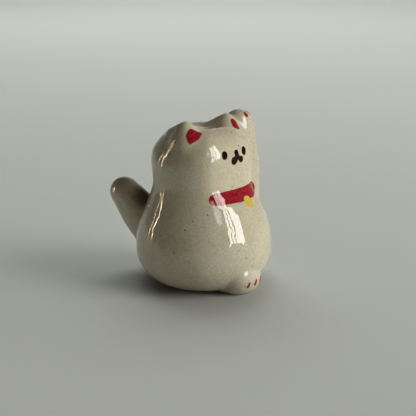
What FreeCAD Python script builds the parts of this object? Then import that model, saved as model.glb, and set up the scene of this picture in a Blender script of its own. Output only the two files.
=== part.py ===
"""Hand-built glazed stoneware beckoning cat, a free-standing figurine about 42 mm tall.

The cat sits upright and faces -Y, +Z is up, and its left side is +X. The origin is the middle of
the flat, unglazed base that it rests on. All lengths are millimetres.

Clay pieces, in the order a maker joins them: a pinched belly pot, the base disc that closes it, a
pinched head pot luted onto the neck, two ears, the raised left arm, the lowered paw at the front
and the tail. Each was scored and slipped onto its neighbour, so the pieces meet face to face. On
top of them lie the brushed underglaze marks, each stroke a thin solid of its own.
"""
import FreeCAD, Part
import math
import os

V = FreeCAD.Vector

# The pear shape of the two pinched pots
BASE_RADIUS = 8.8
BELLY_RADIUS = 17.0
BELLY_HEIGHT = 10.0             # height of the belly's widest level
NECK_RADIUS = 12.1
NECK_HEIGHT = 25.0
HEAD_HALF_WIDTH = 12.4
HEAD_HALF_DEPTH = 11.8
HEAD_HEIGHT = 31.0              # height of the head's widest level
CROWN_HEIGHT = 39.0
HEAD_SHIFT = V(-0.6, 0.4, 0)    # the head sits a little back and to the cat's right
CROWN_SHIFT = V(-0.2, 0.2, 0)

# Walls, closure and joins
WALL = 4.0
CAVITY_CROWN = 34.0             # the hollow inside ends below this height
BASE_DISC_RADIUS = 6.0
BASE_DISC_THICKNESS = 3.6
VENT_RADIUS = 1.25
VENT_OFFSET = 3.0               # the vent is pricked this far behind the middle of the base
SEAM_HEIGHT = 27.0              # the head pot is luted onto the belly pot at this level

# Rolled and pinched additions: chains of balls, each a centre and a radius
EAR_BALLS = {
    "right": [(V(-6.7, -1.4, 34.8), 4.9), (V(-7.0, -0.9, 39.1), 2.1), (V(-6.8, 2.5, 36.9), 2.7)],
    "left": [(V(5.7, -1.9, 35.0), 4.9), (V(6.3, -1.4, 39.7), 1.9), (V(3.1, 2.7, 35.3), 3.4)],
}
ARM_BALLS = [(V(8.4, -6.0, 20.0), 3.6), (V(9.4, -4.9, 30.4), 3.6), (V(10.7, -1.5, 38.5), 3.6)]
PAW_BALLS = [(V(-0.2, -9.0, 4.0), 5.8), (V(0.8, -12.2, 3.6), 4.7)]
TAIL_BALLS = [(V(-1.5, 13.0, 8.4), 6.4), (V(-4.6, 17.5, 14.1), 5.3), (V(-7.3, 21.5, 20.1), 3.9)]

# Brushed marks
PAINT = 0.12                    # how far a mark stands above the clay
REACH = 3.0                     # a mark's prism starts this far outside its anchor point
OUTSIDE = 60.0                  # larger than the figurine, for cutting blocks
OVAL_POINTS = 8

# The collar seen from the front, x and z
COLLAR_OUTLINE = [
    (-8.3, 23.6), (-7.4, 24.8), (-5.4, 25.2), (-1.6, 25.3), (2.4, 25.3), (5.6, 25.5), (7.4, 25.9),
    (7.9, 24.2), (7.4, 22.7), (5.2, 22.0), (2.0, 21.9), (-1.4, 21.9), (-5.0, 22.2), (-7.5, 22.7),
]
BELL_ANCHOR = V(2.6, -12.6, 22.0)
BELL_SIZE = (2.9, 3.2)

# The face: dabs of a loaded brush, each with a width and a height
EYE_SIZE = (1.8, 2.2)
EYE_ANCHORS = {"right_eye": V(-3.6, -10.5, 33.9), "left_eye": V(2.9, -10.4, 34.1)}
NOSE_ANCHOR = V(0.2, -10.9, 33.9)
NOSE_SIZE = (1.3, 2.2)
MOUTH_SIZE = (1.5, 2.5)
MOUTH_STROKES = {                # anchor and lean of each stroke
    "mouth_right_stroke": (V(-1.2, -11.3, 32.3), 56.0),
    "mouth_left_stroke": (V(1.1, -11.3, 32.4), -42.0),
}

# Each ear's colour: anchor, the way it faces, and an outline about the anchor
EAR_COLOURS = {
    "right": (V(-8.2, -4.4, 38.4), V(-0.30, -0.75, 0.60), [
        (0.2, 2.0), (1.6, 1.5), (2.7, 0.6), (1.5, -0.5), (0.0, -1.5), (-1.3, -1.9), (-1.8, -0.6),
        (-1.0, 1.0)]),
    "left": (V(6.0, -4.1, 39.7), V(0.05, -0.70, 0.70), [
        (0.0, 1.6), (0.7, 1.0), (1.0, -0.1), (1.4, -1.4), (0.5, -1.3), (-0.6, -0.8), (-1.0, 0.3),
        (-0.7, 1.2)]),
}
CLAW_SIZE = (0.85, 1.7)
CLAW_LEAN = 12.0
FRONT_CLAWS = [V(-1.1, -16.2, 2.8), V(0.8, -16.6, 3.1), V(2.6, -16.1, 3.3)]
RAISED_CLAWS = [V(10.6, -4.0, 41.1), V(12.2, -3.2, 41.3), V(13.3, -2.2, 40.8)]


# ---------------------------------------------------------------- shared shapes
def closed_curve(outline):
    """A smooth closed curve through flat x, y points."""
    curve = Part.BSplineCurve()
    curve.interpolate([V(x, y, 0) for x, y in outline], PeriodicFlag=True)
    return Part.Wire([curve.toShape()])


def oval_points(half_width, half_height):
    turn = 2.0 * math.pi / OVAL_POINTS
    return [(half_width * math.sin(k * turn), half_height * math.cos(k * turn))
            for k in range(OVAL_POINTS)]


def level_oval(height, half_width, half_depth, shift):
    """A level oval whose seam lies behind the cat."""
    oval = closed_curve(oval_points(half_width, half_depth))
    oval.translate(V(shift.x, shift.y, height))
    return oval


def two_balls(ball_a, ball_b):
    """The solid that two balls and the cone tangent to both make: a rolled, tapered coil."""
    (centre_a, radius_a), (centre_b, radius_b) = ball_a, ball_b
    axis = centre_b - centre_a
    length = axis.Length
    tilt = math.asin((radius_a - radius_b) / length)

    def on_ball(start, radius, angle):
        return V(radius * math.cos(angle), 0, start + radius * math.sin(angle))

    def arc(start, radius, low, high):
        middle = (low + high) / 2.0
        return Part.Arc(*[on_ball(start, radius, a) for a in (low, middle, high)]).toShape()

    quarter = math.pi / 2.0
    profile = Part.Wire([
        arc(0.0, radius_a, -quarter, tilt),
        Part.LineSegment(on_ball(0.0, radius_a, tilt), on_ball(length, radius_b, tilt)).toShape(),
        arc(length, radius_b, tilt, quarter),
        Part.LineSegment(V(0, 0, length + radius_b), V(0, 0, -radius_a)).toShape(),
    ])
    solid = Part.Face(profile).revolve(V(0, 0, 0), V(0, 0, 1), 360)
    solid.Placement = FreeCAD.Placement(centre_a, FreeCAD.Rotation(V(0, 0, 1), axis))
    return solid


def coil(balls, grow=0.0):
    """A bent coil of clay through a chain of balls, with its skin moved out by grow."""
    fat = [(centre, radius + grow) for centre, radius in balls]
    solid = two_balls(fat[0], fat[1])
    for a, b in zip(fat[1:], fat[2:]):
        solid = solid.fuse(two_balls(a, b))
    return solid


def layer(low, high):
    """Everything between two heights."""
    block = Part.makeBox(2 * OUTSIDE, 2 * OUTSIDE, high - low)
    block.translate(V(-OUTSIDE, -OUTSIDE, low))
    return block


def trunk(grow=0.0):
    """Belly and head in one: the pear shape that both pinched pots follow."""
    upright = V(0, 0, 0)
    halfway = HEAD_SHIFT * 0.5
    stations = [
        (0.0, BASE_RADIUS, BASE_RADIUS, upright),
        (0.5, 10.9, 10.9, upright),
        (1.6, 13.2, 13.2, upright),
        (3.6, 15.4, 15.4, upright),
        (6.4, 16.7, 16.7, upright),
        (BELLY_HEIGHT, BELLY_RADIUS, BELLY_RADIUS, upright),
        (15.0, 16.2, 16.2, upright),
        (19.5, 14.3, 14.3, upright),
        (22.3, 12.8, 12.8, halfway),
        (NECK_HEIGHT, NECK_RADIUS, 12.0, halfway),
        (28.0, 12.2, 11.8, HEAD_SHIFT),
        (HEAD_HEIGHT, HEAD_HALF_WIDTH, HEAD_HALF_DEPTH, HEAD_SHIFT),
        (33.4, 11.8, 11.6, HEAD_SHIFT),
        (35.4, 10.8, 10.7, CROWN_SHIFT),
        (37.0, 9.6, 9.5, CROWN_SHIFT),
        (38.3, 8.0, 7.9, CROWN_SHIFT),
        (CROWN_HEIGHT, 5.4, 5.2, CROWN_SHIFT),
    ]
    ovals = [level_oval(z, a + grow, b + grow, shift) for z, a, b, shift in stations]
    return Part.makeLoft(ovals, True, False)


# ---------------------------------------------------------------- clay pieces
def pinched_pots():
    """The belly pot and the head pot: one hollow pear parted at the seam."""
    pear = trunk()
    hollow = trunk(-WALL).common(layer(BASE_DISC_THICKNESS, CAVITY_CROWN))
    disc_seat = Part.makeCylinder(BASE_DISC_RADIUS, BASE_DISC_THICKNESS)
    belly = pear.common(layer(0, SEAM_HEIGHT)).cut(hollow).cut(disc_seat)
    head = pear.common(layer(SEAM_HEIGHT, OUTSIDE)).cut(hollow)
    return belly, head


def base_disc():
    """The slab that closes the belly pot, with the vent that lets steam out in the kiln."""
    disc = Part.makeCylinder(BASE_DISC_RADIUS, BASE_DISC_THICKNESS)
    vent = Part.makeCylinder(VENT_RADIUS, BASE_DISC_THICKNESS, V(0, VENT_OFFSET, 0))
    return disc.cut(vent)


def clay_pieces():
    pear = trunk()
    belly, head = pinched_pots()
    ears = {side: coil(balls).cut(pear) for side, balls in EAR_BALLS.items()}
    arm = coil(ARM_BALLS).cut(pear).cut(coil(EAR_BALLS["left"]))
    paw = coil(PAW_BALLS).common(layer(0, OUTSIDE)).cut(pear)
    tail = coil(TAIL_BALLS).cut(pear)
    return {
        "belly_pot": belly,
        "base_disc": base_disc(),
        "head_pot": head,
        "right_ear": ears["right"],
        "left_ear": ears["left"],
        "raised_arm": arm,
        "front_paw": paw,
        "tail": tail,
    }


# ---------------------------------------------------------------- brushed marks
HOSTS = {
    "trunk": trunk,
    "right_ear": lambda grow=0.0: coil(EAR_BALLS["right"], grow),
    "left_ear": lambda grow=0.0: coil(EAR_BALLS["left"], grow),
    "arm": lambda grow=0.0: coil(ARM_BALLS, grow),
    "paw": lambda grow=0.0: coil(PAW_BALLS, grow),
}


def dab(width, height, lean=0.0):
    """The outline of one touch of the brush: an upright oval, leaning by some degrees."""
    outline = closed_curve(oval_points(width / 2.0, height / 2.0))
    outline.rotate(V(0, 0, 0), V(0, 0, 1), -lean)
    return outline


def mark_prism(outline, anchor, outward, depth=2 * REACH):
    """A flat outline set against the clay at anchor, with its own up kept up, pushed inward."""
    outward = V(outward).normalize()
    side = V(0, 0, 1).cross(outward).normalize()
    frame = FreeCAD.Rotation(side, outward.cross(side), outward, "ZYX")
    outline.Placement = FreeCAD.Placement(anchor + outward * REACH, frame)
    return Part.Face(outline).extrude(outward * -depth)


def brushed(hosts, prism, under=()):
    """The paint that a prism leaves on its hosts, clear of the shapes it runs under."""
    touches = [HOSTS[name](PAINT).common(prism) for name in hosts]
    mark = touches[0]
    for touch in touches[1:]:
        mark = mark.fuse(touch)
    for name in hosts:
        mark = mark.cut(HOSTS[name]())
    for shape in under:
        mark = mark.cut(shape)
    return mark


def brushed_marks():
    """Every touch of underglaze; a mark laid later stops at the ones already there."""
    front = V(0, -1, 0)
    arm = coil(ARM_BALLS)
    bell = mark_prism(dab(*BELL_SIZE), BELL_ANCHOR, V(0.2, -0.85, 0.45))
    collar = mark_prism(closed_curve(COLLAR_OUTLINE), V(0, -11.0, 0), front, depth=3 * REACH)
    marks = {
        "bell": brushed(["trunk"], bell),
        "collar": brushed(["trunk", "arm"], collar, under=[bell]),
    }
    for name, anchor in EYE_ANCHORS.items():
        eye = mark_prism(dab(*EYE_SIZE), anchor, V(anchor.x, anchor.y, 4.0))
        marks[name] = brushed(["trunk"], eye)

    nose = mark_prism(dab(*NOSE_SIZE), NOSE_ANCHOR, V(0, -1, 0.35))
    marks["nose"] = brushed(["trunk"], nose)
    painted = [nose]
    for name, (anchor, lean) in MOUTH_STROKES.items():
        stroke = mark_prism(dab(*MOUTH_SIZE, lean), anchor, front)
        marks[name] = brushed(["trunk"], stroke, under=painted)
        painted.append(stroke)

    for side, (anchor, facing, outline) in EAR_COLOURS.items():
        patch = mark_prism(closed_curve(outline), anchor, facing)
        marks[side + "_ear_colour"] = brushed([side + "_ear", "trunk"], patch, under=[arm])

    for number, anchor in enumerate(FRONT_CLAWS, 1):
        claw = mark_prism(dab(*CLAW_SIZE, CLAW_LEAN), anchor, anchor - PAW_BALLS[1][0])
        marks["front_paw_claw_%d" % number] = brushed(["paw"], claw, under=[trunk()])
    for number, anchor in enumerate(RAISED_CLAWS, 1):
        claw = mark_prism(dab(*CLAW_SIZE), anchor, anchor - ARM_BALLS[2][0])
        marks["raised_paw_claw_%d" % number] = brushed(["arm"], claw)
    return marks


def main():
    os.makedirs("parts", exist_ok=True)
    pieces = clay_pieces()
    pieces.update(brushed_marks())
    for name, shape in pieces.items():
        solids = len(shape.Solids)
        print("%-22s solids %d  valid %s  volume %.3f" % (name, solids, shape.isValid(), shape.Volume))
        shape.exportStep("parts/%s.step" % name)


main()
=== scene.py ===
import math

import bpy
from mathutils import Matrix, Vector


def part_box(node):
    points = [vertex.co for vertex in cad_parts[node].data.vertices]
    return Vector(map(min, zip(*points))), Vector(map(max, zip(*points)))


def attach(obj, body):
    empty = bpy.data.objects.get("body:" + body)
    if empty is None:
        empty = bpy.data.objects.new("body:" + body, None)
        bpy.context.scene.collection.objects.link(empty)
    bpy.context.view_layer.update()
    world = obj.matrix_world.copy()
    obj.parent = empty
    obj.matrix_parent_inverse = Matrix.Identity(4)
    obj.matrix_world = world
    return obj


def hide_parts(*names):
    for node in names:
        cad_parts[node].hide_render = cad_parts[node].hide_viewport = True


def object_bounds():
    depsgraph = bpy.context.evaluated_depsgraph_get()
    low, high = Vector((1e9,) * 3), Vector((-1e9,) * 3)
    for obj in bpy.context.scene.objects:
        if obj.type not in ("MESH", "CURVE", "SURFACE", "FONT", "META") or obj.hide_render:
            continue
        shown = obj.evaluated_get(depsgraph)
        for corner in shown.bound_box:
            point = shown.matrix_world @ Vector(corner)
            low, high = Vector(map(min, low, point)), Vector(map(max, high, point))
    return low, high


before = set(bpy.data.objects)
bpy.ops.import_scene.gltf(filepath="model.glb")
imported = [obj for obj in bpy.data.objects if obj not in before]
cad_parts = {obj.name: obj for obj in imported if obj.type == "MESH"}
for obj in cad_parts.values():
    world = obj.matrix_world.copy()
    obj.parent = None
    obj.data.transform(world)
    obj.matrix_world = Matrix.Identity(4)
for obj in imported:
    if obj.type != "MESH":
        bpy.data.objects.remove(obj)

bl_info = {
    "name": "Beckoning Cat Figurine",
    "version": (1, 0, 0),
    "blender": (4, 5, 0),
    "location": "3D View > Sidebar > Cat",
    "description": "Builds a small glazed stoneware beckoning cat around its packed frame",
    "category": "Object",
}

CAD_LOW, CAD_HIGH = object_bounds()
MM = 0.001
VIEW_TURN = math.radians(-45.0)
VIEW_TIP = math.radians(15.5)
VIEW = Vector((math.sin(VIEW_TURN) * math.cos(VIEW_TIP),
               -math.cos(VIEW_TURN) * math.cos(VIEW_TIP), math.sin(VIEW_TIP)))
FACES_VIEWER = 0.1          # clay whose normal leans towards the view by more than this faces it
VIEW_REACH = 3.0 * MM       # how far a mark may slide along the view line to reach the clay
BLOCK = 1.0                 # side of a cutting block, far larger than the cat


def linear(hex_colour):
    """A six-digit sRGB hex colour as linear red, green and blue."""
    channels = [int(hex_colour[i:i + 2], 16) / 255.0 for i in (1, 3, 5)]
    return tuple(c / 12.92 if c <= 0.04045 else ((c + 0.055) / 1.055) ** 2.4 for c in channels)


# ------------------------------------------------------------------ sizes and colours
class CatSizes(bpy.types.PropertyGroup):
    grain: bpy.props.FloatProperty(
        name="Clay grain", description="Mesh spacing of the clay skin",
        default=0.3 * MM, unit="LENGTH", precision=5)
    wobble: bpy.props.FloatProperty(
        name="Hand wobble", description="How far finger marks move the clay in or out",
        default=0.22 * MM, unit="LENGTH", precision=5)
    wobble_width: bpy.props.FloatProperty(
        name="Wobble width", description="Width of one finger mark",
        default=6.0 * MM, unit="LENGTH", precision=5)
    ripple: bpy.props.FloatProperty(
        name="Glaze ripple", description="How far the glaze pools or thins",
        default=0.055 * MM, unit="LENGTH", precision=5)
    ripple_width: bpy.props.FloatProperty(
        name="Ripple width", description="Width of one pool of glaze",
        default=2.4 * MM, unit="LENGTH", precision=5)
    cut_margin: bpy.props.FloatProperty(
        name="Cut margin", description="How far outside a lump its piece is cut from the skin",
        default=0.5 * MM, unit="LENGTH", precision=5)
    film: bpy.props.FloatProperty(
        name="Colour film", description="How far a brushed mark stands above the clay",
        default=0.035 * MM, unit="LENGTH", precision=5)
    ragged: bpy.props.FloatProperty(
        name="Ragged edge", description="How far a brushed edge strays",
        default=0.16 * MM, unit="LENGTH", precision=5)
    ragged_width: bpy.props.FloatProperty(
        name="Ragged width", description="Width of one stray of a brushed edge",
        default=1.1 * MM, unit="LENGTH", precision=5)
    wall: bpy.props.FloatProperty(
        name="Wall", description="Thickness of the pinched pots",
        default=4.0 * MM, unit="LENGTH", precision=5)


class CatColours(bpy.types.PropertyGroup):
    clay_light: bpy.props.FloatVectorProperty(
        name="Light clay", description="Clay where the glaze is thin",
        default=linear("#D6CFBA"), subtype="COLOR", min=0.0, max=1.0)
    clay_dark: bpy.props.FloatVectorProperty(
        name="Dark clay", description="Clay where the glaze is thick",
        default=linear("#BEB498"), subtype="COLOR", min=0.0, max=1.0)
    speck: bpy.props.FloatVectorProperty(
        name="Specks", description="Iron specks in the clay",
        default=linear("#4A3A24"), subtype="COLOR", min=0.0, max=1.0)
    # Painted shade: a dark brown laid into the clay's colour in the crease where the tail meets the
    # body
    crease_shade: bpy.props.FloatVectorProperty(
        name="Painted crease shade", description="Painted shade in the crease where the tail was luted on",
        default=linear("#3A1E12"), subtype="COLOR", min=0.0, max=1.0)
    bare: bpy.props.FloatVectorProperty(
        name="Bare clay", description="Unglazed fired clay of the foot",
        default=linear("#CDBB9C"), subtype="COLOR", min=0.0, max=1.0)
    red: bpy.props.FloatVectorProperty(
        name="Red underglaze", description="Collar, ear and claw colour",
        default=linear("#8C0E1C"), subtype="COLOR", min=0.0, max=1.0)
    red_thin: bpy.props.FloatVectorProperty(
        name="Thin red", description="The red where the brush left less",
        default=linear("#B0444C"), subtype="COLOR", min=0.0, max=1.0)
    brown: bpy.props.FloatVectorProperty(
        name="Brown underglaze", description="Eye, nose and mouth colour",
        default=linear("#180805"), subtype="COLOR", min=0.0, max=1.0)
    brown_thin: bpy.props.FloatVectorProperty(
        name="Thin brown", description="The brown where the brush left less",
        default=linear("#2E130C"), subtype="COLOR", min=0.0, max=1.0)
    yellow: bpy.props.FloatVectorProperty(
        name="Yellow underglaze", description="Bell colour",
        default=linear("#CDB340"), subtype="COLOR", min=0.0, max=1.0)
    yellow_thin: bpy.props.FloatVectorProperty(
        name="Thin yellow", description="The yellow where the brush left less",
        default=linear("#D0BC6C"), subtype="COLOR", min=0.0, max=1.0)
    floor: bpy.props.FloatVectorProperty(
        name="Floor", description="Plain pale floor",
        default=linear("#8A8D89"), subtype="COLOR", min=0.0, max=1.0)


# ------------------------------------------------------------------ working by hand
def only(*objects):
    """Selects these objects and nothing else, with the last one active."""
    bpy.ops.object.select_all(action="DESELECT")
    for o in objects:
        o.select_set(True)
    bpy.context.view_layer.objects.active = objects[-1]


def join(objects, name):
    """Makes one object, with its place, turn and size moved into its mesh."""
    only(*objects)
    if len(objects) > 1:
        bpy.ops.object.join()
    joined = bpy.context.object
    joined.name = name
    joined.data.name = name
    bpy.ops.object.transform_apply(location=True, rotation=True, scale=True)
    return joined


def copy_of(source, name):
    only(source)
    bpy.ops.object.duplicate()
    copy = bpy.context.object
    copy.name = name
    copy.data.name = name
    return copy


def finish_with(obj, kind, **settings):
    """Adds a modifier with its settings and applies it."""
    only(obj)
    modifier = obj.modifiers.new(kind.title(), kind)
    for key, value in settings.items():
        setattr(modifier, key, value)
    bpy.ops.object.modifier_apply(modifier=modifier.name)
    return obj


def discard(*objects):
    only(*objects)
    bpy.ops.object.delete()


def block_above(name, level):
    """A block that fills everything above a level."""
    bpy.ops.object.select_all(action="DESELECT")
    bpy.ops.mesh.primitive_cube_add(size=BLOCK, location=(0.0, 0.0, level + BLOCK / 2.0))
    return join([bpy.context.object], name)


def rod(name, sides, radius, depth, place=(0.0, 0.0, 0.0)):
    """An upright rod, centred on its place."""
    bpy.ops.object.select_all(action="DESELECT")
    bpy.ops.mesh.primitive_cylinder_add(
        vertices=sides, radius=radius, depth=depth, location=place)
    return join([bpy.context.object], name)


def soften(obj, centre, reach, passes):
    """Smooths the clay near a point, fully to half its reach and fading out from there."""
    group = obj.vertex_groups.new(name="soft")
    for v in obj.data.vertices:
        near = 1.0 - (v.co - centre).length / reach
        if near > 0.0:
            group.add([v.index], min(1.0, 2.0 * near), "REPLACE")
    finish_with(obj, "SMOOTH", factor=0.5, iterations=passes, vertex_group="soft")
    obj.vertex_groups.clear()


# ------------------------------------------------------------------ lumps of clay
# The pear that both pinched pots follow: height, half width, half depth, and how much of the
# head's shift each level takes. The last levels dip inside the crown's rim. Millimetres.
PEAR = [
    (-1.0, 7.0, 7.0, 0.0), (0.0, 8.9, 8.9, 0.0), (0.5, 11.0, 11.0, 0.0), (1.6, 13.3, 13.3, 0.0),
    (3.6, 15.5, 15.5, 0.0), (6.4, 16.8, 16.8, 0.0), (10.0, 17.1, 17.1, 0.0),
    (15.0, 16.3, 16.3, 0.0), (19.5, 14.4, 14.4, 0.0), (22.3, 12.9, 12.9, 0.5),
    (25.0, 12.1, 12.0, 0.5), (28.0, 12.2, 11.8, 1.0), (31.0, 12.5, 12.0, 1.0),
    (33.4, 11.9, 12.0, 1.0), (35.4, 10.9, 11.2, 0.4), (37.0, 9.7, 9.9, 0.4),
    (38.3, 8.1, 8.0, 0.4), (39.0, 6.4, 5.9, 0.4), (39.2, 5.4, 4.9, 0.4), (38.8, 4.3, 3.9, 0.4),
    (38.3, 2.4, 2.2, 0.4),
]
HEAD_SHIFT = Vector((-0.6, 0.4, 0.0))
FACE_FLAT = 3.0        # 2 leaves the face round, and more presses it flatter
FACE_RISE = (21.5 * MM, 24.8 * MM)      # the flat of the face fades in between these heights


def pear_lump(name, levels, inset=0.0):
    """The pear, raised ring by ring from its lowest level, with its sides moved in by inset."""
    bpy.ops.object.select_all(action="DESELECT")
    bpy.ops.mesh.primitive_circle_add(vertices=64, radius=MM, fill_type="NGON")
    pear = bpy.context.object
    bpy.ops.object.mode_set(mode="EDIT")
    bpy.ops.mesh.select_all(action="SELECT")
    last = Vector((0.0, 0.0, 0.0))
    width, depth = 1.0, 1.0
    for number, (height, half_width, half_depth, share) in enumerate(levels):
        if number:
            bpy.ops.mesh.extrude_region_move()
        place = Vector((0.0, 0.0, height)) + HEAD_SHIFT * share
        half_width -= inset / MM
        half_depth -= inset / MM
        bpy.ops.transform.translate(value=(place - last) * MM)
        bpy.ops.transform.resize(
            value=(half_width / width, half_depth / depth, 1.0), center_override=place * MM)
        last, width, depth = place, half_width, half_depth
    bpy.ops.mesh.select_all(action="SELECT")
    bpy.ops.mesh.normals_make_consistent(inside=False)
    bpy.ops.object.mode_set(mode="OBJECT")
    return join([pear], name)


def press_face(pear):
    """Presses the front of the head flat, fading out at the cheeks and down the neck."""
    corner_reach = 2.0 ** (0.5 - 1.0 / FACE_FLAT)
    low, high = FACE_RISE
    for v in pear.data.vertices:
        x, y = v.co.x - HEAD_SHIFT.x * MM, v.co.y - HEAD_SHIFT.y * MM
        share = min(1.0, max(0.0, (v.co.z - low) / (high - low)))
        reach = math.hypot(x, y)
        if -y <= abs(x) or share == 0.0:
            continue
        squared = (abs(x / reach) ** FACE_FLAT + abs(y / reach) ** FACE_FLAT) ** (-1.0 / FACE_FLAT)
        pressed = 1.0 + share * (squared / corner_reach - 1.0)
        v.co.x += x * (pressed - 1.0)
        v.co.y += y * (pressed - 1.0)


def corner(node, x, y, z):
    """A point of a CAD node's box, where 0 is its lowest and 1 its highest side on each axis."""
    low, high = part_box(node)
    return Vector(a + (b - a) * share for a, b, share in zip(low, high, (x, y, z)))


# Rolled and pinched lumps as chains of balls. Each chain hangs from a point of its node's box;
# every ball is an offset from that point and a radius, in millimetres.
CHAINS = {
    "right_ear": ((0, 0, 1), [
        ((4.9, 4.4, -6.4), 4.9), ((4.6, 4.9, -2.1), 2.1), ((4.8, 8.3, -4.3), 2.7)]),
    "left_ear": ((0, 0, 1), [
        ((3.4, 4.3, -6.6), 4.9), ((4.0, 4.8, -1.9), 1.9), ((0.8, 8.9, -6.3), 3.4)]),
    "raised_arm": ((1, 1, 1), [
        ((-5.9, -8.1, -22.1), 3.6), ((-4.9, -7.0, -11.7), 3.6), ((-3.6, -3.6, -3.6), 3.6)]),
    "front_paw": ((0, 0, 0), [
        ((4.6, 7.9, 4.0), 5.8), ((3.4, 4.4, 4.3), 4.7), ((5.6, 4.7, 3.6), 4.7)]),
    "tail": ((0, 1, 1), [
        ((9.7, -12.4, -15.6), 6.4), ((6.6, -7.9, -9.9), 5.3), ((3.9, -3.9, -3.9), 3.9)]),
}


def chain_balls(node, grow=0.0):
    at, offsets = CHAINS[node]
    start = corner(node, *at)
    return [(start + Vector(offset) * MM, radius * MM + grow) for offset, radius in offsets]


def hull_lump(name, balls):
    """One closed lump: the hull around a few balls."""
    bpy.ops.object.select_all(action="DESELECT")
    spheres = []
    for centre, radius in balls:
        bpy.ops.mesh.primitive_uv_sphere_add(
            segments=48, ring_count=24, radius=radius, location=centre)
        spheres.append(bpy.context.object)
    lump = join(spheres, name)
    bpy.ops.object.mode_set(mode="EDIT")
    bpy.ops.mesh.select_all(action="SELECT")
    bpy.ops.mesh.convex_hull()
    bpy.ops.object.mode_set(mode="OBJECT")
    return lump


def coil_lump(name, balls, grain):
    """A bent coil: the hull of each pair of neighbouring balls, made into one closed lump."""
    hulls = [hull_lump(name, pair) for pair in zip(balls, balls[1:])]
    coil = join(hulls, name)
    if len(hulls) > 1:
        finish_with(coil, "REMESH", mode="VOXEL", voxel_size=grain)
    return coil


# How the joins are smoothed: reach in millimetres and passes, about each lump's first ball
SKIN_PASSES = 10
JOINS = (("right_ear", 7.0, 40), ("left_ear", 7.0, 40), ("front_paw", 8.0, 40))
# The valley between arm and head: how far up from elbow to hand, then the reach and passes
VALLEY_PLACES = (0.0, 0.5)
VALLEY = (6.5, 50)

CAVITY_TOP = 34.5 * MM      # the hollow inside ends below this height
VENT_RADIUS = 1.25 * MM
VENT_PLACE = 3.0 * MM       # the vent is pricked this far behind the middle of the base
DISC_EDGE = 0.25 * MM       # the base disc's wiped edge


# ------------------------------------------------------------------ the skin and its pieces
def clay_skin():
    return bpy.data.objects["clay_skin"]


def follow_skin(obj):
    """Gives a piece the skin's own shading, so that light runs over the joins without a break."""
    only(obj)
    bpy.ops.object.shade_smooth()
    finish_with(obj, "DATA_TRANSFER", object=clay_skin(), use_loop_data=True,
                data_types_loops={"CUSTOM_NORMAL"}, loop_mapping="POLYINTERP_NEAREST")


def cut_from_skin(name, cutter):
    """The clay inside the cutter becomes a piece, and the clay that is left loses it."""
    left = bpy.data.objects["clay_left"]
    piece = copy_of(left, name)
    finish_with(piece, "BOOLEAN", object=cutter, operation="INTERSECT", solver="MANIFOLD")
    finish_with(left, "BOOLEAN", object=cutter, operation="DIFFERENCE", solver="MANIFOLD")
    discard(cutter)
    return piece


def settle(piece, node, material):
    """Puts a finished piece in the place of its CAD node."""
    if len(piece.data.polygons) < 20:
        raise RuntimeError(f"{piece.name} came out empty")
    piece.data.materials.clear()
    piece.data.materials.append(material)
    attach(piece, "root")
    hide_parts(node)


FILM_ROOT = 2.0             # a film also reaches into the clay, by this many times its height
BRUSH_GRAIN = 0.12 * MM
COLLAR_GRAIN = 0.15 * MM
COLLAR_LEVEL = 23.65 * MM
COLLAR_START = 4.0 * MM     # the collar's path is found from this far in front of the neck
# The collar's path: across, rise above its level and radius of the brush, in millimetres
COLLAR_PATH = (
    (-6.7, 0.0, 1.35), (-5.2, 0.0, 1.55), (-3.0, 0.0, 1.65), (0.0, 0.0, 1.7), (3.0, 0.05, 1.7),
    (5.4, 0.2, 1.65), (6.9, 0.5, 1.6),
)
# Touches of the brush: across, up and radius about the mark's own place, in millimetres
BELL_TOUCHES = ((0.05, 0.2, 1.38), (0.0, -0.25, 1.4))
EYE_TOUCHES = ((0.0, 0.22, 0.82), (0.0, -0.22, 0.84))
FACE_TOUCHES = {
    "right_eye": EYE_TOUCHES,
    "left_eye": EYE_TOUCHES,
    "nose": ((-0.35, 0.3, 0.68), (-0.1, -0.6, 0.72)),
    "mouth_right_stroke": ((0.9, 0.6, 0.55), (0.1, 0.15, 1.02)),
    "mouth_left_stroke": ((-0.5, 0.5, 0.5), (0.25, 0.05, 0.8)),
}
EAR_TOUCHES = {
    "right_ear_colour": (
        (-0.1, 1.2, 0.7), (1.7, 0.45, 0.7), (0.5, -0.6, 0.8), (-1.0, -1.3, 0.85),
        (-1.1, 0.1, 0.7)),
    "left_ear_colour": ((0.1, 0.15, 0.85), (-0.4, -1.3, 0.8), (0.3, -2.1, 0.3)),
}
CLAWS_EACH = (1, 2, 3)
CLAW_LEANS = (("front_paw", 0.12), ("raised_paw", 0.0))
CLAW_TOP = (0.45, 0.38)     # a claw's upper touch: up and radius
CLAW_ROOT = (-0.4, 0.5)     # and its lower one


def lift_film(name, brush, lift, clear_of=()):
    """A thin film of colour on the skin wherever the brush's shape reaches it."""
    corners = [Vector(c) for c in brush.bound_box]
    low = [min(c[i] for c in corners) - MM for i in range(3)]
    high = [max(c[i] for c in corners) + MM for i in range(3)]
    film = copy_of(clay_skin(), name)
    for v in film.data.vertices:
        v.select = any(not low[i] < v.co[i] < high[i] for i in range(3))
    bpy.ops.object.mode_set(mode="EDIT")
    bpy.ops.mesh.select_mode(type="VERT")
    bpy.ops.mesh.delete(type="VERT")
    bpy.ops.object.mode_set(mode="OBJECT")
    root = FILM_ROOT * lift
    finish_with(film, "SOLIDIFY", thickness=lift + root, offset=(lift - root) / (lift + root))
    finish_with(film, "BOOLEAN", object=brush, operation="INTERSECT", solver="MANIFOLD")
    for other in clear_of:
        finish_with(film, "BOOLEAN", object=other, operation="DIFFERENCE", solver="MANIFOLD")
    follow_skin(film)
    return film


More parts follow.
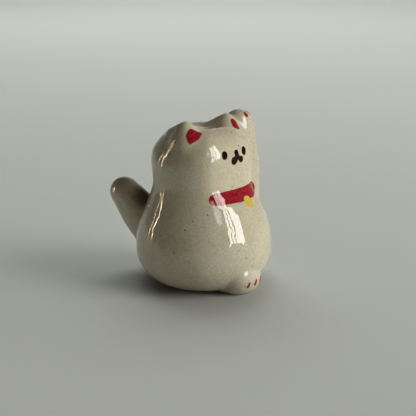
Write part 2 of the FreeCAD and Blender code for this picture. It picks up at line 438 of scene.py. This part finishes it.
def on_skin(node):
    """Where a mark's CAD node falls on the skin, with the ways across, up and out from there.

    The hand-pressed face lies a little behind its CAD solid, so a mark slides along the view line
    onto it. A mark that faces away from the view goes to the nearest clay instead.
    """
    low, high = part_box(node)
    middle = (low + high) / 2.0
    hit, place, out, face = clay_skin().closest_point_on_mesh(middle)
    if out.dot(VIEW) > FACES_VIEWER:
        hit, place, out, face = clay_skin().ray_cast(
            middle + VIEW * VIEW_REACH, -VIEW, distance=2.0 * VIEW_REACH)
    if not hit:
        raise RuntimeError(f"no clay under {node}")
    across = Vector((0.0, 0.0, 1.0)).cross(out).normalized()
    return place, across, out.cross(across), out


def brush_touch(node, touches):
    """The shape of one touch of the brush: the hull of balls given by across, up and radius."""
    place, across, up, out = on_skin(node)
    balls = [(place + (across * x + up * y) * MM, r * MM) for x, y, r in touches]
    return hull_lump("brush", balls)


def ragged(brush, sizes):
    """Roughens a brush shape a little, for an edge laid by hand."""
    finish_with(brush, "REMESH", mode="VOXEL", voxel_size=BRUSH_GRAIN)
    texture = bpy.data.textures.new("bristles", "CLOUDS")
    texture.noise_scale = sizes.ragged_width
    finish_with(brush, "DISPLACE", texture=texture, strength=sizes.ragged, mid_level=0.5)


# ------------------------------------------------------------------ materials
def add_node(tree, kind, sockets=None, **settings):
    """Adds a node with its settings; a socket given another node's output is linked to it."""
    node = tree.nodes.new(kind)
    for key, value in settings.items():
        setattr(node, key, value)
    for socket, value in (sockets or {}).items():
        if isinstance(value, bpy.types.NodeSocket):
            tree.links.new(value, node.inputs[socket])
        else:
            node.inputs[socket].default_value = value
    return node


def per_metre(width_mm):
    """The texture scale that makes one feature this many millimetres wide."""
    return 1000.0 / width_mm


def rgba(colour):
    return (*colour, 1.0)


def new_material(name):
    material = bpy.data.materials.new(name)
    material.use_nodes = True
    material.node_tree.nodes.clear()
    return material, material.node_tree


def show(tree, shader):
    add_node(tree, "ShaderNodeOutputMaterial", {"Surface": shader.outputs[0]})


def specks(tree, place, base, colour, cell_mm, radius_mm, share, strength):
    """Round specks: one in some cells of a random pattern, with soft edges."""
    cells = add_node(tree, "ShaderNodeTexVoronoi", {"Vector": place, "Scale": per_metre(cell_mm)})
    chosen = add_node(tree, "ShaderNodeSeparateColor", {"Color": cells.outputs["Color"]})
    here = add_node(tree, "ShaderNodeMapRange", {
        "Value": chosen.outputs[0], "From Min": 1.0 - share, "From Max": 1.001 - share})
    dot = add_node(tree, "ShaderNodeMapRange", {
        "Value": cells.outputs["Distance"], "From Min": radius_mm / cell_mm,
        "From Max": 0.4 * radius_mm / cell_mm, "To Max": strength})
    both = add_node(tree, "ShaderNodeMath", {0: here.outputs[0], 1: dot.outputs[0]},
                    operation="MULTIPLY")
    return add_node(tree, "ShaderNodeMix", {
        "Factor": both.outputs[0], "A": base, "B": rgba(colour)}, data_type="RGBA")


def painted_shade_patch(tree, place, base, colour, centre, reach_mm, strength):
    """A soft round patch of painted shade: full at its centre and gone at its reach."""
    near = add_node(
        tree, "ShaderNodeVectorMath", {0: place, 1: tuple(centre)}, operation="DISTANCE")
    share = add_node(tree, "ShaderNodeMapRange", {
        "Value": near.outputs["Value"], "From Min": reach_mm * MM, "From Max": 0.35 * reach_mm * MM,
        "To Max": strength}, interpolation_type="SMOOTHSTEP")
    return add_node(tree, "ShaderNodeMix", {
        "Factor": share.outputs[0], "A": base, "B": rgba(colour)}, data_type="RGBA")


# Where the crease by the tail is painted dark as shade, as an offset from the middle of the tail,
# and how far the painted shade reaches
CREASE_SHADE_OFFSET = Vector((-1.3, -3.6, 6.0)) * MM
CREASE_SHADE_REACH_MM = 5.0


# Glazed stoneware: a fired cream-grey clay, pinched by hand, under about 0.2 mm of clear glaze.
# The eye gets a wet, mirror-like gloss over a soft mottled body peppered with fine iron specks.
# Grog is 0.1 to 0.3 mm across and is drawn at 0.45 mm so that it shows. The specks are iron grains
# of about 0.3 and 0.6 mm, one in some cells of 0.7 and 2.2 mm.
def glazed_stoneware(colours):
    material, tree = new_material("clear_glazed_stoneware")
    place = add_node(tree, "ShaderNodeTexCoord").outputs["Object"]
    cloud = add_node(tree, "ShaderNodeTexNoise", {
        "Vector": place, "Scale": per_metre(7.0), "Detail": 3.0})
    body = add_node(tree, "ShaderNodeMix", {
        "Factor": cloud.outputs["Fac"], "A": rgba(colours.clay_dark),
        "B": rgba(colours.clay_light)}, data_type="RGBA")
    grog = add_node(tree, "ShaderNodeTexNoise", {
        "Vector": place, "Scale": per_metre(0.45), "Detail": 2.0})
    grog_shade = add_node(tree, "ShaderNodeMapRange", {
        "Value": grog.outputs["Fac"], "From Min": 0.35, "From Max": 0.7, "To Max": 0.22})
    mottled = add_node(tree, "ShaderNodeMix", {
        "Factor": grog_shade.outputs[0], "A": body.outputs["Result"],
        "B": rgba(colours.speck)}, data_type="RGBA")
    fine = specks(tree, place, mottled.outputs["Result"], colours.speck, 0.7, 0.14, 0.45, 0.55)
    coarse = specks(tree, place, fine.outputs["Result"], colours.speck, 2.2, 0.28, 0.40, 0.9)
    # Painted shade: the crease where the tail meets the body is darkened in the clay's colour
    low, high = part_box("tail")
    crease_shaded = painted_shade_patch(tree, place, coarse.outputs["Result"], colours.crease_shade,
                   (low + high) / 2.0 + CREASE_SHADE_OFFSET, CREASE_SHADE_REACH_MM, 0.95)
    ripple = add_node(tree, "ShaderNodeTexNoise", {
        "Vector": place, "Scale": per_metre(1.6), "Detail": 1.0})
    bump = add_node(tree, "ShaderNodeBump", {
        "Height": ripple.outputs["Fac"], "Strength": 0.25, "Distance": 0.02 * MM})
    shader = add_node(tree, "ShaderNodeBsdfPrincipled", {
        "Base Color": crease_shaded.outputs["Result"], "Roughness": 0.5, "Specular IOR Level": 0.2,
        "Coat Weight": 1.0, "Coat Roughness": 0.02, "Coat IOR": 1.6,
        "Normal": bump.outputs[0]})
    show(tree, shader)
    return material


# Bare stoneware: the same clay wiped clean of glaze, matt, sandy and slightly toasted by the kiln.
def bare_stoneware(colours):
    material, tree = new_material("bare_fired_stoneware")
    place = add_node(tree, "ShaderNodeTexCoord").outputs["Object"]
    sand = add_node(tree, "ShaderNodeTexNoise", {
        "Vector": place, "Scale": per_metre(0.5), "Detail": 6.0, "Roughness": 0.7})
    toast = add_node(tree, "ShaderNodeTexNoise", {"Vector": place, "Scale": per_metre(5.0)})
    body = add_node(tree, "ShaderNodeMix", {
        "Factor": toast.outputs["Fac"], "A": rgba(colours.bare), "B": rgba(colours.clay_dark)},
        data_type="RGBA")
    grit = specks(tree, place, body.outputs["Result"], colours.speck, 0.7, 0.14, 0.4, 0.7)
    bump = add_node(tree, "ShaderNodeBump", {
        "Height": sand.outputs["Fac"], "Strength": 0.7, "Distance": 0.08 * MM})
    shader = add_node(tree, "ShaderNodeBsdfPrincipled", {
        "Base Color": grit.outputs["Result"], "Roughness": 0.85, "IOR": 1.5,
        "Normal": bump.outputs[0]})
    show(tree, shader)
    return material


# Underglaze colour: pigment brushed on the clay and sealed under the clear glaze. It pools darker
# and thins to streaks along the brush. Red and yellow shine as the clay around them does; the brown
# is rich in iron, which dulls the glaze over it, so it mirrors less.
def underglaze(name, colour, thin, streaks, streak_mm, gloss=1.0):
    material, tree = new_material(name)
    place = add_node(tree, "ShaderNodeTexCoord").outputs["Object"]
    drawn = add_node(tree, "ShaderNodeMapping", {"Vector": place, "Scale": (0.3, 0.3, 1.6)})
    bristles = add_node(tree, "ShaderNodeTexNoise", {
        "Vector": drawn.outputs[0], "Scale": per_metre(streak_mm), "Detail": 4.0,
        "Roughness": 0.65})
    pale = add_node(tree, "ShaderNodeMapRange", {
        "Value": bristles.outputs["Fac"], "From Min": 0.42, "From Max": 0.75, "To Max": streaks})
    body = add_node(tree, "ShaderNodeMix", {
        "Factor": pale.outputs[0], "A": rgba(colour), "B": rgba(thin)}, data_type="RGBA")
    shader = add_node(tree, "ShaderNodeBsdfPrincipled", {
        "Base Color": body.outputs["Result"], "Roughness": 0.5, "Specular IOR Level": 0.0,
        "Coat Weight": gloss, "Coat Roughness": 0.02, "Coat IOR": 1.6})
    show(tree, shader)
    return material


def finish_of(slot):
    """The material for one of the record's slots, made once."""
    colours = bpy.context.scene.cat_colours
    made = {
        "glazed_stoneware": ("clear_glazed_stoneware", lambda n: glazed_stoneware(colours)),
        "bare_stoneware": ("bare_fired_stoneware", lambda n: bare_stoneware(colours)),
        "red_underglaze": ("red_brushed_underglaze", lambda n: underglaze(
            n, colours.red, colours.red_thin, 0.6, 0.4)),
        "brown_underglaze": ("brown_iron_underglaze", lambda n: underglaze(
            n, colours.brown, colours.brown_thin, 0.5, 0.6, gloss=0.3)),
        "yellow_underglaze": ("yellow_brushed_underglaze", lambda n: underglaze(
            n, colours.yellow, colours.yellow_thin, 0.6, 0.9)),
    }
    name, make = made[slot]
    return bpy.data.materials.get(name) or make(name)


# ------------------------------------------------------------------ operators
class CAT_OT_clay_skin(bpy.types.Operator):
    """Join every lump of clay and smooth the joins into one skin"""
    bl_idname = "cat.clay_skin"
    bl_label = "Raise Clay Skin"

    def execute(self, context):
        sizes = context.scene.cat_sizes
        pear = finish_with(pear_lump("pear", PEAR), "SUBSURF", levels=2, render_levels=2)
        press_face(pear)
        lumps = [coil_lump(node, chain_balls(node), sizes.grain) for node in CHAINS]
        skin = join([pear, *lumps], "clay_skin")
        finish_with(skin, "REMESH", mode="VOXEL", voxel_size=sizes.grain)
        finish_with(skin, "SMOOTH", factor=0.5, iterations=SKIN_PASSES)
        for node, reach, passes in JOINS:
            soften(skin, chain_balls(node)[0][0], reach * MM, passes)
        shoulder, elbow, hand = chain_balls("raised_arm")
        reach, passes = VALLEY
        for share in VALLEY_PLACES:
            soften(skin, elbow[0].lerp(hand[0], share), reach * MM, passes)
        for name, width, strength in (("finger_marks", sizes.wobble_width, sizes.wobble),
                                      ("glaze_pools", sizes.ripple_width, sizes.ripple)):
            texture = bpy.data.textures.new(name, "CLOUDS")
            texture.noise_scale = width
            finish_with(skin, "DISPLACE", texture=texture, strength=strength, mid_level=0.5)
        above_table = block_above("above_table", 0.0)
        finish_with(skin, "BOOLEAN", object=above_table, operation="INTERSECT", solver="MANIFOLD")
        discard(above_table)
        only(skin)
        bpy.ops.object.shade_smooth()
        copy_of(skin, "clay_left")
        return {"FINISHED"}


class ClayLump:
    """What the cut pieces share: each is the clay near its own chain of balls."""

    def cut(self, context, node):
        sizes = context.scene.cat_sizes
        cutter = coil_lump("cutter", chain_balls(node, sizes.cut_margin), sizes.grain)
        piece = cut_from_skin(node + "_clay", cutter)
        follow_skin(piece)
        settle(piece, node, finish_of("glazed_stoneware"))


class CAT_OT_tail(ClayLump, bpy.types.Operator):
    """Cut the thick tail from the skin"""
    bl_idname = "cat.tail"
    bl_label = "Tail"

    def execute(self, context):
        self.cut(context, "tail")
        return {"FINISHED"}


class CAT_OT_front_paw(ClayLump, bpy.types.Operator):
    """Cut the lowered front paw from the skin"""
    bl_idname = "cat.front_paw"
    bl_label = "Front Paw"

    def execute(self, context):
        self.cut(context, "front_paw")
        return {"FINISHED"}


class CAT_OT_ears(ClayLump, bpy.types.Operator):
    """Cut both ears from the skin"""
    bl_idname = "cat.ears"
    bl_label = "Ears"

    def execute(self, context):
        self.cut(context, "right_ear")
        self.cut(context, "left_ear")
        return {"FINISHED"}


class CAT_OT_raised_arm(ClayLump, bpy.types.Operator):
    """Cut the raised arm with its paw from the skin"""
    bl_idname = "cat.raised_arm"
    bl_label = "Raised Arm"

    def execute(self, context):
        self.cut(context, "raised_arm")
        return {"FINISHED"}


class CAT_OT_pots(bpy.types.Operator):
    """Part the clay that is left into a hollow head and a hollow belly"""
    bl_idname = "cat.pots"
    bl_label = "Head and Belly Pots"

    def execute(self, context):
        sizes = context.scene.cat_sizes
        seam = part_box("head_pot")[0].z
        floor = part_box("base_disc")[1].z
        inside = [row for row in PEAR if floor < row[0] * MM < CAVITY_TOP]
        hollow = finish_with(
            pear_lump("hollow", inside, inset=sizes.wall), "SUBSURF", levels=1, render_levels=1)
        finish_with(bpy.data.objects["clay_left"], "BOOLEAN", object=hollow,
                    operation="DIFFERENCE", solver="MANIFOLD")
        discard(hollow)
        head = cut_from_skin("head_clay", block_above("above", seam))
        belly = bpy.data.objects["clay_left"]
        belly.name = "belly_clay"
        low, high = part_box("base_disc")
        seat = rod("seat", 96, (high.x - low.x) / 2.0, 4.0 * high.z)
        finish_with(belly, "BOOLEAN", object=seat, operation="DIFFERENCE", solver="MANIFOLD")
        discard(seat)
        for piece, node in ((head, "head_pot"), (belly, "belly_pot")):
            follow_skin(piece)
            settle(piece, node, finish_of("glazed_stoneware"))
        return {"FINISHED"}


class CAT_OT_base_disc(bpy.types.Operator):
    """Make the bare disc that closes the belly, with its vent and wiped edge"""
    bl_idname = "cat.base_disc"
    bl_label = "Base Disc"

    def execute(self, context):
        low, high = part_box("base_disc")
        disc = rod("base_disc_clay", 96, (high.x - low.x) / 2.0, high.z, (0.0, 0.0, high.z / 2.0))
        finish_with(disc, "BEVEL", width=DISC_EDGE, segments=3, limit_method="ANGLE")
        vent = rod("vent", 48, VENT_RADIUS, 4.0 * high.z, (0.0, VENT_PLACE, 0.0))
        finish_with(disc, "BOOLEAN", object=vent, operation="DIFFERENCE", solver="MANIFOLD")
        discard(vent)
        only(disc)
        bpy.ops.object.shade_smooth_by_angle(angle=math.radians(35.0))
        settle(disc, "base_disc", finish_of("bare_stoneware"))
        return {"FINISHED"}


class BrushedMark:
    """What the brushed marks share: a shape that reaches the skin, lifted off as a thin film."""

    def lay(self, context, node, slot, brush, clear_of=()):
        sizes = context.scene.cat_sizes
        ragged(brush, sizes)
        film = lift_film(node + "_colour", brush, sizes.film, clear_of)
        settle(film, node, finish_of(slot))
        return brush


class CAT_OT_collar(BrushedMark, bpy.types.Operator):
    """Brush the red collar round the neck and the yellow bell on it"""
    bl_idname = "cat.collar"
    bl_label = "Collar and Bell"

    def execute(self, context):
        bell = self.lay(
            context, "bell", "yellow_underglaze", brush_touch("bell", BELL_TOUCHES))
        low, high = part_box("collar")
        path = []
        for x, rise, radius in COLLAR_PATH:
            start = Vector((x * MM, low.y - COLLAR_START, COLLAR_LEVEL + rise * MM))
            hit, place, out, face = clay_skin().ray_cast(start, Vector((0.0, 1.0, 0.0)))
            if not hit:
                raise RuntimeError("the collar's path misses the neck")
            path.append((place, radius * MM))
        brush = coil_lump("brush", path, COLLAR_GRAIN)
        self.lay(context, "collar", "red_underglaze", brush, clear_of=[bell])
        discard(brush, bell)
        return {"FINISHED"}


class CAT_OT_face(BrushedMark, bpy.types.Operator):
    """Dot the eyes and stroke the nose and mouth"""
    bl_idname = "cat.face"
    bl_label = "Face"

    def execute(self, context):
        laid = []
        for node, touches in FACE_TOUCHES.items():
            brush = brush_touch(node, touches)
            self.lay(context, node, "brown_underglaze", brush, clear_of=laid)
            laid.append(brush)
        discard(*laid)
        return {"FINISHED"}


class CAT_OT_ear_colours(BrushedMark, bpy.types.Operator):
    """Brush the red patch inside each ear"""
    bl_idname = "cat.ear_colours"
    bl_label = "Ear Colours"

    def execute(self, context):
        for node, touches in EAR_TOUCHES.items():
            brush = brush_touch(node, touches)
            self.lay(context, node, "red_underglaze", brush)
            discard(brush)
        return {"FINISHED"}


class CAT_OT_claws(BrushedMark, bpy.types.Operator):
    """Stroke three red claws on each paw"""
    bl_idname = "cat.claws"
    bl_label = "Claws"

    def execute(self, context):
        for paw, lean in CLAW_LEANS:
            for number in CLAWS_EACH:
                node = f"{paw}_claw_{number}"
                brush = brush_touch(node, ((lean, *CLAW_TOP), (-lean, *CLAW_ROOT)))
                self.lay(context, node, "red_underglaze", brush)
                discard(brush)
        return {"FINISHED"}


class CAT_OT_put_away(bpy.types.Operator):
    """Delete the working skin once every piece has been taken from it"""
    bl_idname = "cat.put_away"
    bl_label = "Put Away Working Clay"

    def execute(self, context):
        discard(clay_skin())
        return {"FINISHED"}


FLOOR_SIZE = 3.0
WALL_HEIGHT = 1.2           # the floor sheet sweeps up into a wall on every side
SWEEP = 0.3
BOARD_TURN = math.radians(-115.0)       # turns count from the cat's front towards its left
BOARD_DISTANCE = 0.26
BOARD_WIDTH = 0.74
BOARD_HEIGHT = 0.52
CAMERA_DISTANCE = 0.230
CAMERA_LENS = 80.6
CAMERA_SENSOR = 36.0
AIM_HEIGHT = 20.5 * MM
AIM_RIGHT = 1.0 * MM
AIM_DOWN = 2.0 * MM
DAYLIGHT = "#FFFCF6"
LAMPLIGHT = "#FFE2C0"
# Name, turn from the cat's front in degrees, distance, height above the floor, width, height,
# watts, colour and job. A "mirrored" light only shows in the glaze, and a "lighting" one only
# lights. The "backdrop" light lights the floor alone, from above.
LIGHTS = (
    ("window_first_pane", 3.5, 0.8, 0.54, 0.066, 1.00, 1.9, DAYLIGHT, "mirrored"),
    ("window_middle_pane", 10.2, 0.8, 0.54, 0.066, 1.00, 1.9, DAYLIGHT, "mirrored"),
    ("window_wide_pane", 21.3, 0.8, 0.54, 0.175, 1.00, 4.9, DAYLIGHT, "mirrored"),
    ("window_dim_pane", -14.0, 0.8, 0.58, 0.150, 0.34, 0.5, DAYLIGHT, "mirrored"),
    ("warm_slit", -141.0, 0.22, 0.073, 0.0045, 0.145, 0.06, LAMPLIGHT, "mirrored"),
    ("warm_slit_edge", -150.0, 0.22, 0.060, 0.0025, 0.11, 0.02, LAMPLIGHT, "mirrored"),
    ("soft_key", 28.0, 0.8, 0.45, 0.45, 0.80, 8.0, DAYLIGHT, "lighting"),
    ("soft_side", 75.0, 0.8, 0.35, 0.60, 0.60, 2.2, DAYLIGHT, "lighting"),
    ("backdrop_panel", 135.0, 1.0, 0.90, 1.4, 1.0, 29.0, "#F4F7F5", "backdrop"),
)
ROOM_COLOUR = "#B08A60"
ROOM_STRENGTH = 0.12


def towards(turn):
    """The level direction at a turn from the cat's front towards its left."""
    return Vector((math.sin(turn), -math.cos(turn), 0.0))


class CAT_OT_stage(bpy.types.Operator):
    """Set out the pale floor, the window light, the fills and the camera"""
    bl_idname = "cat.stage"
    bl_label = "Stage"

    def execute(self, context):
        self.floor(context.scene.cat_colours)
        self.dark_board()
        self.lights()
        self.camera(context)
        return {"FINISHED"}

    def floor(self, colours):
        bpy.ops.object.select_all(action="DESELECT")
        bpy.ops.mesh.primitive_plane_add(size=FLOOR_SIZE)
        sheet = bpy.context.object
        bpy.ops.object.mode_set(mode="EDIT")
        bpy.ops.mesh.select_mode(type="EDGE")
        bpy.ops.mesh.select_all(action="SELECT")
        bpy.ops.mesh.extrude_edges_move(
            TRANSFORM_OT_translate={"value": (0.0, 0.0, WALL_HEIGHT)})
        bpy.ops.object.mode_set(mode="OBJECT")
        finish_with(sheet, "BEVEL", width=SWEEP, segments=24, limit_method="ANGLE")
        sheet.rotation_euler.z = VIEW_TURN
        sheet = join([sheet], "floor")
        bpy.ops.object.shade_smooth()
        material, tree = new_material("pale_matt_paper")
        place = add_node(tree, "ShaderNodeTexCoord").outputs["Object"]
        grain = add_node(tree, "ShaderNodeTexNoise", {
            "Vector": place, "Scale": per_metre(0.8), "Detail": 4.0})
        bump = add_node(tree, "ShaderNodeBump", {
            "Height": grain.outputs["Fac"], "Strength": 0.3, "Distance": 0.05 * MM})
        shader = add_node(tree, "ShaderNodeBsdfPrincipled", {
            "Base Color": rgba(colours.floor), "Roughness": 0.8, "Normal": bump.outputs[0]})
        show(tree, shader)
        sheet.data.materials.append(material)

    def dark_board(self):
        """A dark board to the cat's right that only shows in the glaze."""
        away = towards(BOARD_TURN)
        bpy.ops.object.select_all(action="DESELECT")
        bpy.ops.mesh.primitive_plane_add(
            size=1.0, location=away * BOARD_DISTANCE + Vector((0.0, 0.0, BOARD_HEIGHT / 2.0)),
            rotation=(-away).to_track_quat("Z", "Y").to_euler())
        board = bpy.context.object
        board.scale = (BOARD_WIDTH, BOARD_HEIGHT, 1.0)
        board = join([board], "dark_board")
        material, tree = new_material("dark_felt")
        shader = add_node(tree, "ShaderNodeBsdfPrincipled", {
            "Base Color": rgba(linear("#4A3626")), "Roughness": 0.95, "Specular IOR Level": 0.0})
        show(tree, shader)
        board.data.materials.append(material)
        board.visible_camera = False
        board.visible_diffuse = False
        board.visible_shadow = False

    def lights(self):
        # The glaze mirrors a tall window of three panes, a dim pane beside it and two warm slits
        # far to the cat's right. The soft key and side lights, which it doesn't mirror, light it.
        middle = (CAD_LOW + CAD_HIGH) / 2.0
        for name, turn, distance, rise, width, height, watts, colour, job in LIGHTS:
            at = towards(math.radians(turn)) * distance
            facing = Vector((0.0, 0.0, -1.0)) if job == "backdrop" else middle - at
            if job != "backdrop":
                facing.z = 0.0
            at.z = rise
            bpy.ops.object.light_add(
                type="AREA", location=at, rotation=facing.to_track_quat("-Z", "Y").to_euler())
            light = bpy.context.object
            light.name = name
            light.visible_camera = False
            light.visible_diffuse = job != "mirrored"
            light.visible_glossy = job == "mirrored"
            light.data.shape = "RECTANGLE"
            light.data.size = width
            light.data.size_y = height
            light.data.energy = watts
            light.data.color = linear(colour)
        backdrop = bpy.data.collections.new("backdrop")
        backdrop.objects.link(bpy.data.objects["floor"])
        light.light_linking.receiver_collection = backdrop
        world = bpy.data.worlds.new("dim_room")
        bpy.context.scene.world = world
        world.use_nodes = True
        sky = world.node_tree.nodes["Background"]
        sky.inputs["Color"].default_value = rgba(linear(ROOM_COLOUR))
        sky.inputs["Strength"].default_value = ROOM_STRENGTH
        bpy.context.scene.view_settings.view_transform = "Standard"

    def camera(self, context):
        right = Vector((math.cos(VIEW_TURN), math.sin(VIEW_TURN), 0.0))
        up = VIEW.cross(right)
        aim = Vector((0.0, 0.0, AIM_HEIGHT)) + right * AIM_RIGHT - up * AIM_DOWN
        bpy.ops.object.camera_add(
            location=aim + VIEW * CAMERA_DISTANCE,
            rotation=VIEW.to_track_quat("Z", "Y").to_euler())
        camera = bpy.context.object
        camera.name = "camera"
        camera.data.sensor_width = CAMERA_SENSOR
        camera.data.lens = CAMERA_LENS
        camera.data.clip_start = 0.01
        camera.data.clip_end = 10.0
        context.scene.camera = camera


# ------------------------------------------------------------------ panel, registering and running
STEPS = (
    CAT_OT_clay_skin, CAT_OT_collar, CAT_OT_face, CAT_OT_ear_colours, CAT_OT_claws, CAT_OT_tail,
    CAT_OT_front_paw, CAT_OT_ears, CAT_OT_raised_arm, CAT_OT_pots, CAT_OT_base_disc,
    CAT_OT_put_away, CAT_OT_stage,
)


class CAT_PT_panel(bpy.types.Panel):
    bl_idname = "CAT_PT_panel"
    bl_label = "Beckoning Cat"
    bl_space_type = "VIEW_3D"
    bl_region_type = "UI"
    bl_category = "Cat"

    def draw(self, context):
        for group in (context.scene.cat_sizes, context.scene.cat_colours):
            for name in group.bl_rna.properties.keys():
                if name not in {"rna_type", "name"}:
                    self.layout.prop(group, name)
        for step in STEPS:
            self.layout.operator(step.bl_idname)


CLASSES = (CatSizes, CatColours, *STEPS, CAT_PT_panel)


def register():
    for cls in CLASSES:
        bpy.utils.register_class(cls)
    bpy.types.Scene.cat_sizes = bpy.props.PointerProperty(type=CatSizes)
    bpy.types.Scene.cat_colours = bpy.props.PointerProperty(type=CatColours)


def unregister():
    del bpy.types.Scene.cat_colours
    del bpy.types.Scene.cat_sizes
    for cls in reversed(CLASSES):
        bpy.utils.unregister_class(cls)


def main():
    register()
    for step in STEPS:
        category, name = step.bl_idname.split(".")
        getattr(getattr(bpy.ops, category), name)()


if __name__ == "__main__":
    main()
